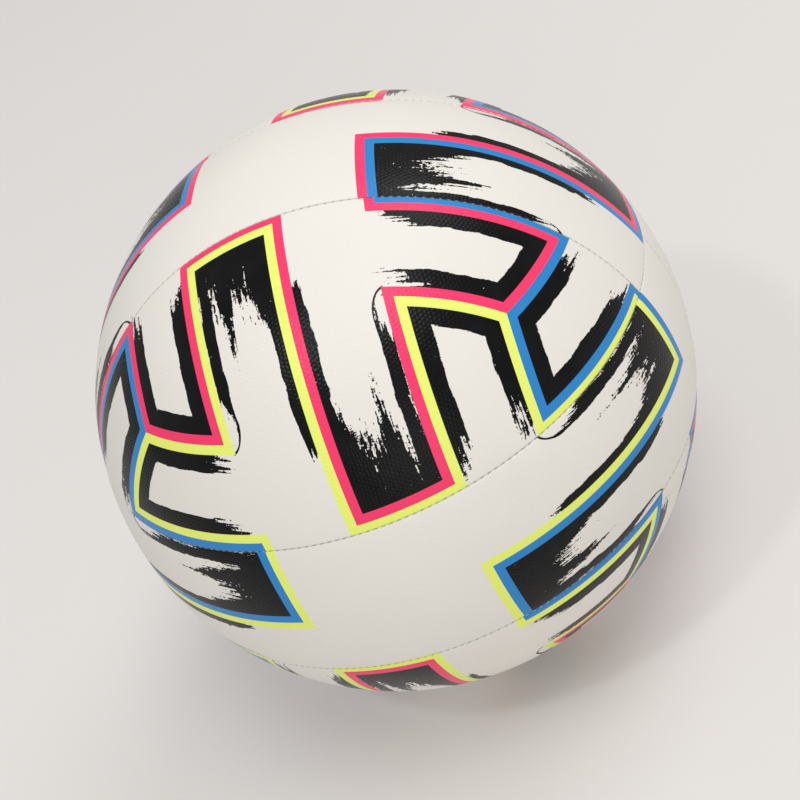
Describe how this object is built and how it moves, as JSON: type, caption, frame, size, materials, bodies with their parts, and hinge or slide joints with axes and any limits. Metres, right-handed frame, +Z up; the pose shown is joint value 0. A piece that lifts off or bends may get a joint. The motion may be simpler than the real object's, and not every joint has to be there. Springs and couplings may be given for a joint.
{
  "type": "soccer ball",
  "caption": "Stitched soccer ball of full match size: foam-backed panels with level belt seams, sewn with turned-in edges over a rubber bladder with a needle valve.",
  "frame": {"origin": "the ball's centre", "axes": "+Z up across the belt panels, +Y out through the valve, +X to the right along the belt"},
  "size_m": [0.2198, 0.2199, 0.22],
  "materials": {
    "cover_skin": "satin warm white skin with a fine pebble grain and a printed pattern",
    "foam": "fine closed-cell foam",
    "backing_cloth": "plain woven cloth",
    "seam_thread": "twisted polyester thread",
    "bladder_rubber": "smooth black rubber with a powdery bloom",
    "valve_rubber": "moulded black rubber",
    "plug_rubber": "soft dark grey rubber, slightly oily"
  },
  "bodies": {
    "root": {"cover_top_front": "cover_skin", "cover_top_middle": "cover_skin", "cover_top_back": "cover_skin", "cover_belt_front": "cover_skin", "cover_belt_back": "cover_skin", "cover_bottom_front": "cover_skin", "cover_bottom_middle": "cover_skin", "cover_bottom_back": "cover_skin", "foam_top_front": "foam", "foam_top_middle": "foam", "foam_top_back": "foam", "foam_belt_front": "foam", "foam_belt_back": "foam", "foam_bottom_front": "foam", "foam_bottom_middle": "foam", "foam_bottom_back": "foam", "backing_top_front": "backing_cloth", "backing_top_middle": "backing_cloth", "backing_top_back": "backing_cloth", "backing_belt_front": "backing_cloth", "backing_belt_back": "backing_cloth", "backing_bottom_front": "backing_cloth", "backing_bottom_middle": "backing_cloth", "backing_bottom_back": "backing_cloth", "thread_upper_circle": "seam_thread", "thread_lower_circle": "seam_thread", "thread_top_front": "seam_thread", "thread_top_back": "seam_thread", "thread_bottom_front": "seam_thread", "thread_bottom_back": "seam_thread", "thread_belt_right": "seam_thread", "thread_belt_left": "seam_thread", "bladder": "bladder_rubber", "valve_patch": "bladder_rubber", "valve_housing": "valve_rubber", "valve_plug": "plug_rubber"}
  },
  "joints": []
}
